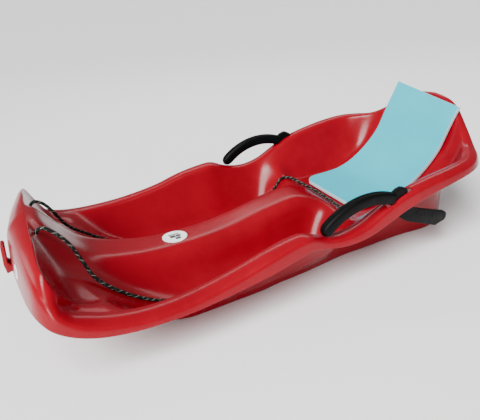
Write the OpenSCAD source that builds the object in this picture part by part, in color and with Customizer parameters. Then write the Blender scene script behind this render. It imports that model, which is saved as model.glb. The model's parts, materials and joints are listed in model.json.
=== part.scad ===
// Moulded bob sledge: one thin red shell, two hand brakes, a tow rope and a foam seat pad.
// +X is forward, +Y is the rider's left, Z is up; the shell stands on z = 0.
// Distances "behind the nose" are turned into X by bx().

/* [Shell] */

// Length of the shell without the nose hook
hull_l = 980; // [850:1:1200]
// Width over the lips of the flange
hull_w = 476; // [420:1:600]
// Height of the nose crest
nose_h = 208; // [150:1:260]
// Height of the backrest crest
tail_h = 254; // [200:1:320]
// Height of the flange beside the foot wells
side_h = 90; // [70:1:120]
// Height of the flange just in front of the hand dips
crest_h = 128; // [100:1:160]
// Height of the flange at the bottom of the hand dips
dip_h = 105; // [85:1:130]
// Height of the flange beside the seat
seat_side_h = 171; // [140:1:210]
// Wall of the moulding
wall = 3; // [2.5:0.5:6]
// Width of the flange
flange_w = 34; // [24:1:44]
// Height of the inside of the foot wells
floor_h = 10; // [8:1:20]
// Height of the seat
seat_h = 66; // [40:1:90]
// Height of the low part of the centre hump
hump_h = 80; // [50:1:110]
// Half width of the centre hump at half its height
hump_half_w = 62; // [45:1:80]
// Rise of the hump where it turns into the front of the seat
knee_rise = 29; // [10:1:45]
// Width of the runners under the shell
runner_w = 6; // [4:0.5:12]

/* [Nose hook] */

// Width of the hook across the sledge
hook_w = 24; // [15:1:40]
// Height of the hook
hook_h = 50; // [35:1:70]

/* [Brake levers] */

// Distance from the fold of the flange in to the middle of a lever
lever_inset = 10; // [8:1:14]
// Thickness of a lever plate
lever_t = 10; // [8:1:16]
// Width of the hand grip
grip_w = 20; // [16:1:28]
// Depth of the hand grip
grip_d = 23; // [18:1:30]
// Rise of the arched grip above a straight line
grip_rise = 21; // [10:1:30]
// Distance from the pivot forward to the tip of the grip
lever_reach = 168; // [140:1:200]
// Distance from the pivot back to the tip of the claw
claw_reach = 122; // [90:1:150]
// Drop of the claw tip below the pivot
claw_drop = 66; // [40:1:90]
// Depth of the claw plate at its tip
claw_d = 23; // [18:1:30]
// Radius of the lever hub
hub_r = 13; // [10:0.5:18]
// Play beside a lever in its slot
side_play = 0.6; // [0.3:0.1:1.5]

/* [Pivot pins] */

// Diameter of a pivot pin
pin_d = 8; // [6:0.5:12]
// Radial play of a lever on its pin
pin_play = 0.05; // [0.02:0.01:0.10]
// Thickness of the two ears that hold a pin
ear_t = 3; // [2.5:0.5:6]
// Diameter of the head of a pin
pin_head_d = 13; // [10:0.5:18]
// Thickness of the head of a pin
pin_head_t = 2; // [1.5:0.5:4]

/* [Tow rope] */

// Diameter of the rope
rope_d = 6; // [4:0.5:10]
// Diameter of the holes in the nose
rope_hole_d = 9; // [7:0.5:14]
// Distance from the centre plane to a rope hole
rope_hole_y = 57; // [35:1:80]
// Drop of the rope holes below the nose crest
rope_hole_drop = 15; // [12:1:18]
// Diameter of the knots that hold the rope
knot_d = 15; // [11:1:20]

/* [Seat pad] */

// Width of the pad
pad_w = 200; // [150:1:206]
// How far the pad lies off the middle
pad_shift = -8; // [-8:1:8]
// Thickness of the foam
pad_t = 9; // [4:0.5:12]
// How much shorter the pad is along its left side
pad_skew = 25; // [0:1:40]
// Radius of the pad's front corners
pad_corner_r = 30; // [10:1:45]

/* [Labels] */

// Length of the label on the hump
hump_label_l = 50; // [30:1:60]
// Diameter of the labels on the nose
nose_label_d = 24; // [15:1:30]
// Thickness of a label
label_t = 0.6; // [0.4:0.1:1]

/* [Hidden] */

red = [0.80, 0.02, 0.06];
black = [0.05, 0.05, 0.06];
foam_blue = [0.55, 0.83, 0.88];
steel = [0.62, 0.63, 0.65];
white = [0.93, 0.94, 0.94];

fit_gap = 0.3;     // between curved faces of different bodies
lip_out = 6;       // how far the lip leans out at the widest place
bulge = 4;         // how far the flange is domed
half_f = hull_w / 2 - lip_out;
pivot_u = fr(0.69);         // pivot of the brakes, behind the nose

function bx(u) = middle_u - u;              // distance behind the nose -> X
function fr(f) = f * hull_l;                // fraction of the length -> distance
function lf(k) = (pivot_u + k * lever_reach) / hull_l;   // place along a lever -> fraction
function mix(a, b, t) = a + (b - a) * t;
function clamp01(t) = min(1, max(0, t));
function ease(t) = let (c = clamp01(t)) c * c * (3 - 2 * c);

// Catmull-Rom curve through a list of vectors, t from 0 to len - 1.
function curve(p, t) =
    let (n = len(p) - 1, i = min(n - 1, max(0, floor(t))), f = t - i,
         a = p[max(0, i - 1)], b = p[i], c = p[i + 1], d = p[min(n, i + 2)])
    b + 0.5 * f * ((c - a) + f * ((2 * a - 5 * b + 4 * c - d) + f * (3 * (b - c) + d - a)));

// Smooth value through [x, value] stations.
function slope(p, i) =
    let (a = p[max(0, i - 1)], b = p[min(len(p) - 1, i + 1)]) (b[1] - a[1]) / (b[0] - a[0]);
function station(p, x, i = 0) = (i >= len(p) - 2 || x < p[i + 1][0]) ? i : station(p, x, i + 1);
function spline(p, x) =
    x <= p[0][0] ? p[0][1] : x >= p[len(p) - 1][0] ? p[len(p) - 1][1] :
    let (i = station(p, x), h = p[i + 1][0] - p[i][0], t = (x - p[i][0]) / h)
    p[i][1] * (1 + 2 * t) * (1 - t) * (1 - t) + p[i + 1][1] * t * t * (3 - 2 * t)
    + h * slope(p, i) * t * (1 - t) * (1 - t) - h * slope(p, i + 1) * t * t * (1 - t);

// Fold of the flange from the nose to the tail, for the left half: distance
// behind the nose and half width as fractions, height, width of the flange,
// rise of its inner edge, drop of the lip, how steep the inside wall ends, how
// far out the foot of that wall stands, and how far the lip leans out.
fold = [
    [0.013, 0.00, nose_h - 20, 0.90, 20, 72, 4.0, 0.74, 14],
    [0.020, 0.25, nose_h - 21, 0.75, 19, 68, 4.0, 0.74, 16],
    [0.027, 0.48, nose_h - 25, 0.60, 18, 62, 4.0, 0.74, 17],
    [0.032, 0.66, nose_h - 32, 0.45, 17, 54, 4.0, 0.74, 16],
    [0.038, 0.80, nose_h - 42, 0.42, 16, 44, 4.0, 0.74, 14],
    [0.048, 0.89, nose_h - 62, 0.55, 5, 34, 3.0, 0.74, 11],
    [0.063, 0.93, nose_h - 84, 0.72, 2, 24, 2.2, 0.74, 8],
    [0.088, 0.955, side_h + 17, 0.88, 3, 18, 1.8, 0.74, 7],
    [0.125, 0.98, side_h + 6, 0.96, 2, 15, 1.6, 0.74, 6],
    [0.180, 1.00, side_h, 1.0, 1, 13, 1.5, 0.74, 6],
    [0.250, 1.00, side_h + 1, 1.0, 1, 14, 1.5, 0.74, 6],
    [0.330, 0.99, mix(side_h, crest_h, 0.3), 1.0, 2, 18, 1.5, 0.74, 6],
    [0.395, 0.99, mix(side_h, crest_h, 0.72), 1.0, 2, 24, 1.5, 0.735, 6],
    [lf(-1.39), 0.97, crest_h - 1, 1.0, 0, 25, 1.5, 0.725, 6],
    [lf(-1.22), 0.96, crest_h - 1, 0.9, 0, 20, 1.5, 0.715, 6],
    [lf(-1.02), 0.945, mix(crest_h, dip_h, 0.7), 0.8, 0, 15, 1.5, 0.705, 6],
    [lf(-0.76), 0.94, dip_h - 1, 0.8, 0, 15, 1.5, 0.69, 6],
    [lf(-0.49), 0.94, dip_h + 6, 0.8, 0, 20, 1.5, 0.675, 6],
    [lf(-0.23), 0.94, mix(dip_h, seat_side_h, 0.40), 0.8, 0, 26, 1.5, 0.665, 6],
    [lf(0.03), 0.945, mix(dip_h, seat_side_h, 0.68), 0.8, 0, 27, 1.6, 0.66, 6],
    [0.760, 0.950, mix(dip_h, seat_side_h, 0.88), 0.8, 0, 22, 1.6, 0.65, 6],
    [0.825, 0.950, seat_side_h, 0.8, 0, 18, 1.6, 0.65, 6],
    [0.873, 0.915, seat_side_h + 4, 0.8, 0, 16, 1.6, 0.69, 6],
    [0.908, 0.820, seat_side_h + 6, 0.8, 1, 17, 1.6, 0.77, 6],
    [0.936, 0.680, mix(seat_side_h, tail_h, 0.12), 0.65, 2, 20, 1.7, 0.83, 6],
    [0.960, 0.500, mix(seat_side_h, tail_h, 0.40), 0.5, 3, 26, 2.0, 0.86, 6],
    [0.981, 0.260, mix(seat_side_h, tail_h, 0.85), 0.45, 3, 28, 2.2, 0.88, 6],
    [0.988, 0.000, tail_h - 3, 0.45, 3, 28, 2.2, 0.88, 6]];

// Heights along the foot wells, seat and backrest, and along the hump.
well_line = [
    [fr(0.040), nose_h - 48], [fr(0.060), nose_h - 64], [fr(0.080), nose_h - 78],
    [fr(0.120), nose_h - 108], [fr(0.150), floor_h + 64], [fr(0.185), floor_h + 36],
    [fr(0.220), floor_h + 16], [fr(0.260), floor_h + 4], [fr(0.310), floor_h],
    [fr(0.555), floor_h], [fr(0.580), floor_h + 14], [fr(0.605), seat_h - 6],
    [fr(0.623), seat_h + 13], [fr(0.638), seat_h + 15], [fr(0.655), seat_h + 6],
    [fr(0.675), seat_h], [fr(0.760), seat_h], [fr(0.790), seat_h + 3],
    [fr(0.820), seat_h + 12], [fr(0.848), seat_h + 26], [fr(0.875), seat_h + 44],
    [fr(0.905), mix(seat_h, tail_h, 0.38)], [fr(0.935), mix(seat_h, tail_h, 0.56)],
    [fr(0.975), mix(seat_h, tail_h, 0.86)]];
hump_line = [
    [fr(0.040), nose_h - 3], [fr(0.062), nose_h - 7], [fr(0.080), nose_h - 30],
    [fr(0.105), nose_h - 66], [fr(0.130), nose_h - 90], [fr(0.160), hump_h + 24],
    [fr(0.200), hump_h + 12], [fr(0.250), hump_h + 3], [fr(0.310), hump_h],
    [fr(0.370), hump_h + 1], [fr(0.430), hump_h + 7], [fr(0.500), hump_h + 20],
    [fr(0.555), hump_h + knee_rise - 1], [fr(0.580), hump_h + knee_rise],
    [fr(0.605), hump_h + knee_rise - 7], [fr(0.632), seat_h + 24],
    [fr(0.655), seat_h + 8], [fr(0.675), seat_h], [fr(0.760), seat_h]];

// Height of the rim beside the rise of the nose, which the wells never pass.
shoulder_line = [
    [fr(0.040), nose_h - 55], [fr(0.058), nose_h - 78], [fr(0.088), side_h + 16],
    [fr(0.125), side_h + 4], [fr(0.180), side_h]];
function hump_mix(y) = 1 / (1 + pow(abs(y) / hump_half_w, 6));
// Height of the inside of the shell, u behind the nose and y from the middle.
function inside_z(u, y) =
    let (w0 = spline(well_line, u),
         w = mix(w0, min(w0, spline(shoulder_line, u)), ease((abs(y) - 110) / 60)))
    u >= fr(0.675) ? w : w + (spline(hump_line, u) - w) * hump_mix(y);

spans = 2 * (len(fold) - 1);                // spans round one half of the rim
hook_out = 10;                              // how far the hook stands out of the lip
front_u = fold_at(0)[0] - fold_at(0)[8];    // lip of the nose
rear_u = fold_at(spans)[0] + fold_at(spans)[8];
middle_u = (front_u - hook_out + rear_u) / 2;
spine_front = fr(0.20);
spine_rear = fr(0.78);
function fold_at(i) =
    let (f = curve(fold, i / 2)) [fr(f[0]), half_f * f[1], f[2], flange_w * f[3], f[4], f[5], f[6], f[7], f[8]];
// Unit vector in plan that points into the shell from the fold.
function inward(i) =
    i <= 0 ? [1, 0] : i >= spans ? [-1, 0] :
    let (a = fold_at(i - 0.5), b = fold_at(i + 0.5), d = [b[0] - a[0], b[1] - a[1]])
    [d[1], -d[0]] / norm(d);
function spine_at(i) = mix(spine_front, spine_rear, i / spans);
// Inner edge of the flange.
function edge_at(i) =
    let (f = fold_at(i), n = inward(i))
    [f[0] + n[0] * f[3], i <= 0 || i >= spans ? 0 : max(4, f[1] + n[1] * f[3]), f[2] + f[4], f[6], f[7]];
// Point of the inside, s from 0 on the spine to 1 at the edge of the flange.
function inside_at(i, s) =
    let (e = edge_at(i), u = mix(spine_at(i), e[0], s), y = e[1] * s, z = inside_z(u, y), foot = e[4])
    [u, y, s <= foot ? z : mix(z, e[2], pow((s - foot) / (1 - foot), e[3]))];
// Point of the flange, q from 0 at its inner edge to 1 at the fold.
function flange_at(i, q) =
    let (e = edge_at(i), f = fold_at(i))
    [mix(e[0], f[0], q), mix(e[1], f[1], q), mix(e[2], f[2], q) + bulge * 4 * q * (1 - q)];
// Point of the lip: out by a share of its lean and down by a share of its drop,
// moved in by a distance for the inner face.
function lip_at(i, out, down, back = 0) =
    let (f = fold_at(i), n = inward(i), d = f[8] * out - back)
    [f[0] - n[0] * d, f[1] - n[1] * d, f[2] - f[5] * down];
// Unit vector that points out of the underside below a point of the inside.
function under_dir(i, s) =
    let (d = cross(inside_at(i, min(1, s + 0.01)) - inside_at(i, s - 0.01),
                   inside_at(min(spans, i + 0.5), s) - inside_at(max(0, i - 0.5), s)))
    d / norm(d);
// Point under the inside, one wall away.
function under_at(i, s) =
    let (p = inside_at(i, s), d = under_dir(i, s), m = i <= 0 || i >= spans ? [1, 0, 1] : [1, 1, 1])
    p + wall * [d[0] * m[0], d[1] * m[1], d[2] * m[2]];
// Point of the runner, which reaches the ground behind the rise of the nose.
function runner_at(i, out) =
    let (p = under_at(i, edge_at(i)[4] + out), g = ease((p[0] - fr(0.17)) / fr(0.11)))
    [p[0], p[1], mix(p[2] - 1, 0, g)];

runner_s = runner_w / (half_f - flange_w);  // width of a runner as a share of s
wall_steps = [0.16, 0.34, 0.52, 0.70, 0.86];  // from the foot of the wall to its edge
floor_steps = [0.10, 0.20, 0.28, 0.35, 0.42, 0.50, 0.62, 0.80];  // from the spine to the foot
function foot_share(i, t) = edge_at(i)[4] * t;
function wall_share(i, t) = mix(edge_at(i)[4], 1, t);
// One half loop of points round the shell, ring by ring from the spine outward,
// over the flange and lip, and back underneath.
function half_ring(k) =
    let (a = len(floor_steps), b = len(wall_steps), j = k - a - b)
    [for (i = [0 : spans])
        k < a ? inside_at(i, foot_share(i, floor_steps[k])) :
        k == a ? inside_at(i, foot_share(i, 1)) :
        j <= 0 ? inside_at(i, wall_share(i, wall_steps[k - a - 1])) :
        j <= 5 ? flange_at(i, (j - 1) / 5) :
        j == 6 ? lip_at(i, 0, 0) :
        j == 7 ? lip_at(i, 0.5, 0.25) :
        j == 8 ? lip_at(i, 1, 1) :
        j == 9 ? lip_at(i, 1, 1, wall) :
        j == 10 ? lip_at(i, 0, 0, wall * 0.8) - [0, 0, wall] :
        j <= 12 ? flange_at(i, (13 - j) / 3) - [0, 0, wall] :
        j <= 12 + b ? under_at(i, wall_share(i, wall_steps[b + 12 - j])) :
        j == 13 + b ? runner_at(i, runner_s) :
        j == 14 + b ? runner_at(i, 0) :
        j == 15 + b ? under_at(i, foot_share(i, 0.97)) :
        under_at(i, foot_share(i, floor_steps[a + b + 15 - j]))];
rings = 2 * len(floor_steps) + 2 * len(wall_steps) + 16;
function full_ring(h) = concat(h, [for (i = [spans - 1 : -1 : 1]) [h[i][0], -h[i][1], h[i][2]]]);

module shell_body() {
    n = 2 * spans;
    top = [for (i = [0 : spans]) [spine_at(i), 0, inside_z(spine_at(i), 0)]];
    loops = [for (k = [0 : rings - 1]) each full_ring(half_ring(k))];
    bottom = [for (p = top) p - [0, 0, wall]];
    pts = [for (p = concat(top, loops, bottom)) [bx(p[0]), p[1], p[2]]];
    t0 = 0;
    r0 = spans + 1;
    b0 = r0 + rings * n;
    function r(k, i) = r0 + k * n + (i + n) % n;
    function s(i) = i <= spans ? i : n - i;     // spine index of a place on a loop
    faces = concat(
        [for (i = [0 : n - 1]) each
            [[t0 + s(i), r(0, i + 1), r(0, i)], [t0 + s(i), t0 + s(i + 1), r(0, i + 1)]]],
        [for (k = [0 : rings - 2], i = [0 : n - 1]) each
            [[r(k, i), r(k + 1, i + 1), r(k + 1, i)], [r(k, i), r(k, i + 1), r(k + 1, i + 1)]]],
        [for (i = [0 : n - 1]) each
            [[r(rings - 1, i), r(rings - 1, i + 1), b0 + s(i)],
             [r(rings - 1, i + 1), b0 + s(i + 1), b0 + s(i)]]]);
    polyhedron(points = pts, faces = faces, convexity = 8);
}

// ---- places on the shell that other pieces take over ----

rim_list = [for (i = [16 : spans - 12]) let (f = fold_at(i)) [f[0], f[2], f[1]]];
function rim_z(u) = lookup(u, [for (r = rim_list) [r[0], r[1]]]);   // height of the fold
function rim_y(u) = lookup(u, [for (r = rim_list) [r[0], r[2]]]);   // half width at the fold
lever_y = rim_y(pivot_u) - lever_inset;
pivot_z = rim_z(pivot_u) - 8;
slot_w = lever_t + 2 * side_play;
slot_front = -34;                           // ends of a slot, behind its pivot
slot_rear = 24;
ear_gap = slot_w + 2 * ear_t;               // over the outer faces of the ears
ear_r = pin_d / 2 + 5;
pin_x = bx(pivot_u);

rope_hole_u = 52;                           // rope holes behind the nose

// Profile in the X-Z plane, pushed out across the sledge.
module slab(w, y = 0) translate([0, y + w / 2, 0]) rotate([90, 0, 0]) linear_extrude(w) children();

// Hook under the front lip: a foot, an upright and a rounded tip.
hook_x = bx(front_u);
hook_z = fold_at(0)[2] - fold_at(0)[5];
module nose_hook() translate([hook_x, 0, hook_z]) slab(hook_w) {
    polygon([[-8, -2], [8, -6], [hook_out, 12], [6, hook_h - 6], [-1, hook_h - 6], [2, 14], [-3, 8]]);
    translate([2.5, hook_h - 6]) circle(r = 3.6, $fn = 32);
}

// Block under the flange, cut into two ears by the slot.
module ear_block() slab(ear_gap) {
    circle(r = ear_r, $fn = 40);
    polygon([[-ear_r, 0], [ear_r, 0], [ear_r, ear_top(-ear_r)], [-ear_r, ear_top(ear_r)]]);
}
function ear_top(du) = rim_z(pivot_u + du) - pivot_z - 0.5;

module shell() color(red) difference() {
    union() {
        shell_body();
        nose_hook();
        for (side = [-1, 1]) translate([pin_x, side * lever_y, pivot_z]) ear_block();
    }
    for (side = [-1, 1]) {
        translate([bx(pivot_u + slot_rear), side * lever_y - slot_w / 2, pivot_z - 30])
            cube([slot_rear - slot_front, slot_w, 80]);
        place_lever(side) inward_pin(side, pin_d, ear_gap / 2 + 3, ear_gap / 2 - 0.4);
        translate([bx(rope_hole_u), side * rope_hole_y, nose_h - rope_hole_drop])
            rotate([0, -57, 0]) cylinder(d = rope_hole_d, h = 24, center = true, $fn = 32);
    }
}

module place_lever(side) translate([pin_x, side * lever_y, pivot_z]) children();
// Rod across a lever, from a distance on the inner side to one on the outer side.
module inward_pin(side, d, inner, outer) rotate([side * 90, 0, 0])
    translate([0, 0, -outer]) cylinder(d = d, h = inner + outer, $fn = 40);

// ---- brake levers ----

tip_r = grip_w / 2 - 0.5;
tip = [lever_reach, rim_z(pivot_u - lever_reach) + bulge + 0.5 + tip_r - pivot_z];
// The heel keeps clear of the flange when the dip is less deep.
heel = [26, max(10, rim_z(pivot_u - 33) + bulge + grip_d / 2 + 0.2 - pivot_z)];
// Circle through the tip and the heel with the wanted rise.
chord = norm(tip - heel);
grip_arc_r = chord * chord / (8 * grip_rise) + grip_rise / 2;
grip_dir = (tip - heel) / chord;
grip_mid = (tip + heel) / 2;
grip_c = grip_mid + [grip_dir[1], -grip_dir[0]] * (grip_arc_r - grip_rise);
grip_a0 = atan2(tip[1] - grip_c[1], tip[0] - grip_c[0]);
grip_a1 = atan2(heel[1] - grip_c[1], heel[0] - grip_c[0]);

// Rounded section of the grip: a superellipse.
function section(w, d, n = 32) = [for (k = [0 : n - 1]) let (a = 360 * k / n)
    [w / 2 * sign(cos(a)) * pow(abs(cos(a)), 0.6), d / 2 * sign(sin(a)) * pow(abs(sin(a)), 0.6)]];

module grip() {
    translate([grip_c[0], 0, grip_c[1]]) rotate([-90, 0, 0]) rotate([0, 0, -grip_a1])
        rotate_extrude(angle = grip_a1 - grip_a0, $fn = 120)
            translate([grip_arc_r, 0]) polygon([for (q = section(grip_d, grip_w)) q]);
    translate([tip[0], 0, tip[1]]) rotate([90, 0, 0]) cylinder(r = tip_r, h = grip_w - 3, center = true, $fn = 40);
}

// Web between grip and hub, the hub, and the claw behind it.
module lever_plate() {
    claw_r = claw_d / 2;
    claw_tip = [claw_r - claw_reach, -claw_drop];
    slab(lever_t) {
        circle(r = hub_r, $fn = 48);
        polygon([[-13, 13], [-11, 21], [2, 27], [12, 25], [22, 19], [40, 25], [44, 12],
                 [30, 3], [12, -6], [-10, -8]]);
        polygon([[6, -11], [0, -34], [-18, -50], claw_tip + [16, -claw_r - 4],
                 claw_tip + [2, -claw_r], claw_tip + [0, claw_r],
                 [-60, -36], [-30, -23], [-13, -2]]);
        translate(claw_tip) circle(r = claw_r, $fn = 40);
    }
}

module lever() color(black) difference() {
    union() { grip(); lever_plate(); }
    rotate([90, 0, 0]) cylinder(r = pin_d / 2 + pin_play, h = grip_w, center = true, $fn = 48);
}
module brake_lever_left() place_lever(1) lever();
module brake_lever_right() place_lever(-1) lever();

// The head of a pin sits under the flange, on the side of the seat.
module pin(side) color(steel) place_lever(side) {
    inward_pin(side, pin_d, ear_gap / 2, ear_gap / 2 - 0.4);
    inward_pin(side, pin_head_d, ear_gap / 2 + pin_head_t, -ear_gap / 2);
}
module pivot_pin_left() pin(1);
module pivot_pin_right() pin(-1);

// ---- tow rope ----

// Route from the knot in the left hole, down the left foot well, across in
// front of the pad and back: distance behind the nose, y and z.
rope_route = [
    [36, 56, 182], [52, 57, 193], [64, 61, 200], [79, 67, 191], [97, 76, 168], [109, 86, 139],
    [119, 98, 112], [135, 108, 92], [160, 113, 69], [190, 116, 47], [225, 117, 28], [270, 117, 18],
    [400, 117, 14], [540, 117, 17], [565, 117, 32], [589, 116, 63], [607, 112, 83], [625, 99, 86],
    [638, 70, 81], [644, 25, 78], [648, -35, 76], [643, -85, 77], [630, -111, 84], [609, -119, 84],
    [589, -119, 63], [565, -118, 32], [540, -118, 17], [400, -118, 14], [270, -117, 18],
    [225, -115, 28], [190, -112, 48], [160, -106, 71], [135, -96, 95], [116, -83, 116],
    [102, -71, 139], [90, -62, 168], [77, -60, 190], [63, -59, 199], [52, -57, 193], [36, -56, 182]];
rope_sides = 8;
rope_steps = 2;    // rings for each stretch between two points of the route

module rope_tube() {
    n = rope_steps * (len(rope_route) - 1);
    mid = [for (k = [0 : n]) let (p = curve(rope_route, k / rope_steps)) [bx(p[0]), p[1], p[2]]];
    dirs = [for (k = [0 : n]) let (d = mid[min(n, k + 1)] - mid[max(0, k - 1)]) d / norm(d)];
    // Each ring's side vector is carried on from the ring before, so the tube does not twist.
    side = [for (k = 0, v = cross(dirs[0], [0, 0, 1]); k <= n;
                 k = k + 1, v = k > n ? v : v - dirs[k] * (v * dirs[k])) v / norm(v)];
    pts = [for (k = [0 : n]) let (a = side[k], b = cross(dirs[k], a)) for (q = [0 : rope_sides - 1])
               mid[k] + rope_d / 2 * (a * cos(360 * q / rope_sides) + b * sin(360 * q / rope_sides))];
    function r(k, q) = k * rope_sides + q % rope_sides;
    faces = concat(
        [[for (q = [0 : rope_sides - 1]) r(0, q)]],
        [for (k = [0 : n - 1], q = [0 : rope_sides - 1]) each
            [[r(k, q), r(k + 1, q), r(k + 1, q + 1)], [r(k, q), r(k + 1, q + 1), r(k, q + 1)]]],
        [[for (q = [rope_sides - 1 : -1 : 0]) r(n, q)]]);
    polyhedron(points = pts, faces = faces, convexity = 10);
}
module tow_rope() color(black) rope_tube();

module rope_knot(end) color(black) translate([bx(end[0]), end[1], end[2]]) sphere(d = knot_d, $fn = 32);
module rope_knot_left() rope_knot(rope_route[0]);
module rope_knot_right() rope_knot(rope_route[len(rope_route) - 1]);

// ---- seat pad ----

// Underside of the pad, from its front edge to the crest of the backrest.
pad_gap = 1;
pad_line = [
    [fr(0.682), seat_h], [fr(0.700), seat_h - 0.3], [fr(0.760), seat_h + 0.5],
    [fr(0.790), seat_h + 3.8], [fr(0.820), seat_h + 13], [fr(0.848), seat_h + 27.5],
    [fr(0.875), seat_h + 46.4], [fr(0.897), mix(seat_h, tail_h, 0.352)],
    [fr(0.9163), mix(seat_h, tail_h, 0.475)], [fr(0.9327), mix(seat_h, tail_h, 0.640)],
    [fr(0.949), mix(seat_h, tail_h, 0.797)], [fr(0.9633), mix(seat_h, tail_h, 0.925)],
    [fr(0.9755), mix(seat_h, tail_h, 1.040)]];
function pad_at(k) = let (p = curve(pad_line, k)) [bx(p[0]), p[1] + pad_gap];
function pad_up(k) =    // unit vector out of the top of the pad
    let (d = pad_at(min(len(pad_line) - 1, k + 0.2)) - pad_at(max(0, k - 0.2))) [d[1], -d[0]] / norm(d);

pad_end = pad_at(len(pad_line) - 1);
pad_slope = atan2(pad_up(len(pad_line) - 1)[0], pad_up(len(pad_line) - 1)[1]);
module seat_pad() color(foam_blue) intersection() {
    steps = [for (k = [0 : 0.5 : len(pad_line) - 1]) k];
    translate([0, pad_shift, 0]) slab(pad_w) polygon(concat(
        [for (k = steps) pad_at(k)],
        [for (j = [len(steps) - 1 : -1 : 0]) pad_at(steps[j]) + pad_t * pad_up(steps[j])]));
    translate([0, pad_shift, 0]) linear_extrude(tail_h + 40) {
        x0 = pad_at(0)[0] - pad_corner_r;
        for (s = [-1, 1]) translate([x0, s * (pad_w / 2 - pad_corner_r)]) circle(r = pad_corner_r, $fn = 64);
        translate([x0 - 400, -pad_w / 2]) square([400, pad_w]);
        translate([x0, pad_corner_r - pad_w / 2]) square([pad_corner_r, pad_w - 2 * pad_corner_r]);
    }
    // The slanting cut across the top end, square to the foam.
    translate([pad_end[0], pad_shift - pad_w / 2, pad_end[1]]) rotate([0, pad_slope, 0])
        rotate([0, 0, -atan(pad_skew / pad_w)]) translate([0, -60, -60]) cube([600, 360, 600]);
}

// ---- labels ----

// Thin round patch on a curved face: place(a, b) gives the face for a and b from
// -1 to 1, and up is the unit vector away from it.
module patch(place, up) {
    radii = 4;
    around = 32;
    grid = concat([[0, 0]], [for (r = [1 : radii], k = [0 : around - 1])
        r / radii * [cos(360 * k / around), sin(360 * k / around)]]);
    n = len(grid);
    pts = [for (lift = [fit_gap, fit_gap + label_t], g = grid) place(g[0], g[1]) + lift * up];
    function r(k, q, top) = (top ? n : 0) + (k == 0 ? 0 : 1 + (k - 1) * around + q % around);
    sheet = [for (q = [0 : around - 1]) each concat(
        [[[0, q], [1, q], [1, q + 1]]],
        [for (k = [1 : radii - 1]) each [[[k, q], [k + 1, q], [k + 1, q + 1]], [[k, q], [k + 1, q + 1], [k, q + 1]]]])];
    faces = concat(
        [for (f = sheet) [for (v = f) r(v[0], v[1], true)]],
        [for (f = sheet) [for (j = [2 : -1 : 0]) r(f[j][0], f[j][1], false)]],
        [for (q = [0 : around - 1]) each
            [[r(radii, q, false), r(radii, q + 1, true), r(radii, q, true)],
             [r(radii, q, false), r(radii, q + 1, false), r(radii, q + 1, true)]]]);
    polyhedron(points = pts, faces = faces, convexity = 4);
}

hump_label_u = fr(0.30);
module hump_label() color(white)
    patch(function (a, b) let (u = hump_label_u + a * hump_label_l / 2, y = b * hump_label_l * 0.46)
              [bx(u), y, inside_z(u, y)], [0, 0, 1]);

nose_label_i = 2.95;                        // place round the rim
nose_label_down = 0.55;                     // share of the height of the lip
module nose_label(side) color(white) {
    i = nose_label_i;
    f = fold_at(i);
    n = inward(i);
    step = norm([for (c = [0, 1]) fold_at(i + 0.5)[c] - fold_at(i - 0.5)[c]]);
    patch(function (a, b)
              let (t = nose_label_down + b * nose_label_d / 2 / f[5],
                   p = lip_at(i + side * a * nose_label_d / 2 / step, 0.5 + (t - 0.25) * 2 / 3, t))
              [bx(p[0]), side * p[1], p[2]],
          [n[0], -side * n[1], 0.2] / norm([n[0], n[1], 0.2]));
}
module nose_label_left() nose_label(1);
module nose_label_right() nose_label(-1);

shell();
brake_lever_left();
brake_lever_right();
pivot_pin_left();
pivot_pin_right();
tow_rope();
rope_knot_left();
rope_knot_right();
seat_pad();
hump_label();
nose_label_left();
nose_label_right();
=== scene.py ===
"""Moulded bob sledge: a glossy shell, two hand brakes, a tow rope, a foam seat pad and labels.

The CAD frame gives the places. Shapes are worked out in millimetres, with u the
distance behind the nose, y to the rider's left and z up, and are scaled to metres
when a mesh is made.
"""

import json
import math
from functools import lru_cache

import bmesh
import bpy
from mathutils import Matrix, Vector


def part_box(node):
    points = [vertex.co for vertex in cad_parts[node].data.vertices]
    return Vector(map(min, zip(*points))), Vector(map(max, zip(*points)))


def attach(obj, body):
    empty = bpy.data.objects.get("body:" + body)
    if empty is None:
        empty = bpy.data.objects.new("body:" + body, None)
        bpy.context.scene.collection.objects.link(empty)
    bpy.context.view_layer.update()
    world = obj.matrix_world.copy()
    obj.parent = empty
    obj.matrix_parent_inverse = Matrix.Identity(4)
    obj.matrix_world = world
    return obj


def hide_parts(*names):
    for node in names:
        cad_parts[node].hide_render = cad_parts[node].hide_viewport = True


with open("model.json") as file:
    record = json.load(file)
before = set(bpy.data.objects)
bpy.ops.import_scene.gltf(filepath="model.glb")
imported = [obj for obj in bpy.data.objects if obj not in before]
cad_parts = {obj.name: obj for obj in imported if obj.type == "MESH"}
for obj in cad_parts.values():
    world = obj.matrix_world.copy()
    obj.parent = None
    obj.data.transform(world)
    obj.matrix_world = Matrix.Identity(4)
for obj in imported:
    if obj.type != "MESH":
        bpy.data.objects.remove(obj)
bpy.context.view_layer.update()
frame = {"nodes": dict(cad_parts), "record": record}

bl_info = {
    "name": "Bob sledge",
    "version": (1, 0, 0),
    "blender": (4, 5, 0),
    "location": "3D View > Sidebar > Sledge",
    "description": "Builds a moulded bob sledge with hand brakes, a tow rope and a seat pad",
    "category": "Add Mesh",
}

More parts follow.
